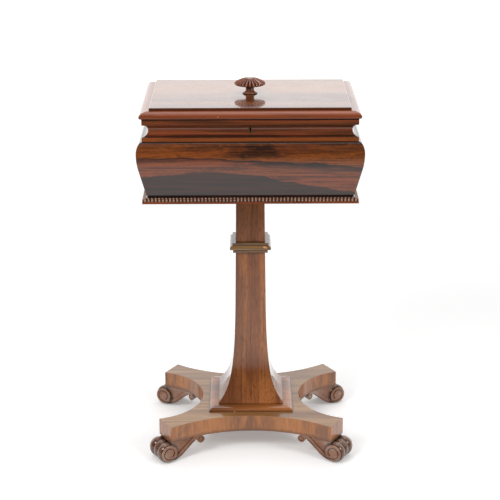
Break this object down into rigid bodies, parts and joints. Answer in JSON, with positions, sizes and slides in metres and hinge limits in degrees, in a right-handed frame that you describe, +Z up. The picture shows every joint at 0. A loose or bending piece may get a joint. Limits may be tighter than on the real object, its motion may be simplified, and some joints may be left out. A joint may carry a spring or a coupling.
{
  "type": "teapoy",
  "caption": "Rosewood tea chest with a hinged lid, tea canisters and mixing bowls, on a flared column with a concave-sided platform and carved scroll feet.",
  "frame": {"origin": "on the floor, under the middle of the column", "axes": "+Z up, -Y towards the front (the keyhole side), +X to the right as seen from the front"},
  "size_m": [0.4632, 0.372, 0.8098],
  "materials": {
    "rosewood": "figured rosewood, french polished",
    "pine": "plain secondary wood",
    "brass": "aged brass",
    "steel": "dull iron",
    "glass": "clear blown glass",
    "velvet": "dark red velvet"
  },
  "bodies": {
    "stand": {"base_board": "rosewood", "bead_back": "rosewood", "bead_front": "rosewood", "bead_left": "rosewood", "bead_right": "rosewood", "bowl_back": "glass", "bowl_front": "glass", "box_bottom": "pine", "box_screws": "brass", "canister_knob_left": "rosewood", "canister_knob_right": "rosewood", "canister_left": "rosewood", "canister_lid_left": "rosewood", "canister_lid_right": "rosewood", "canister_right": "rosewood", "collar_back": "rosewood", "collar_front": "rosewood", "collar_left": "rosewood", "collar_right": "rosewood", "column": "rosewood", "column_plinth": "rosewood", "deck": "rosewood", "escutcheon": "brass", "foot_back_left": "rosewood", "foot_back_right": "rosewood", "foot_front_left": "rosewood", "foot_front_right": "rosewood", "frieze_back": "rosewood", "frieze_front": "rosewood", "frieze_left": "rosewood", "frieze_right": "rosewood", "hinge_leaf_body_left": "brass", "hinge_leaf_body_right": "brass", "hinge_pin_left": "steel", "hinge_pin_right": "steel", "lock_case": "brass", "partition_left": "rosewood", "partition_right": "rosewood", "platform": "rosewood", "stand_screws": "steel", "wall_back": "rosewood", "wall_front": "rosewood", "wall_left": "rosewood", "wall_right": "rosewood"},
    "lid": {"lid_panel": "rosewood", "lid_lining": "velvet", "knob": "rosewood", "knob_screw": "steel", "link_plate": "brass", "lid_screws": "brass", "hinge_leaf_lid_left": "brass", "hinge_leaf_lid_right": "brass", "lid_moulding_front": "rosewood", "lid_moulding_back": "rosewood", "lid_moulding_left": "rosewood", "lid_moulding_right": "rosewood"},
    "lock_bolt": {"lock_bolt": "brass"}
  },
  "joints": [
    {"name": "lid_hinge", "type": "hinge", "parent": "stand", "child": "lid", "pos_m": [0, 0.1527, 0.757], "axis": [-1, 0, 0], "range_deg": [0, 100]},
    {"name": "lock_bolt_slide", "type": "slide", "parent": "stand", "child": "lock_bolt", "axis": [1, 0, 0], "range_m": [0, 0.005]}
  ]
}
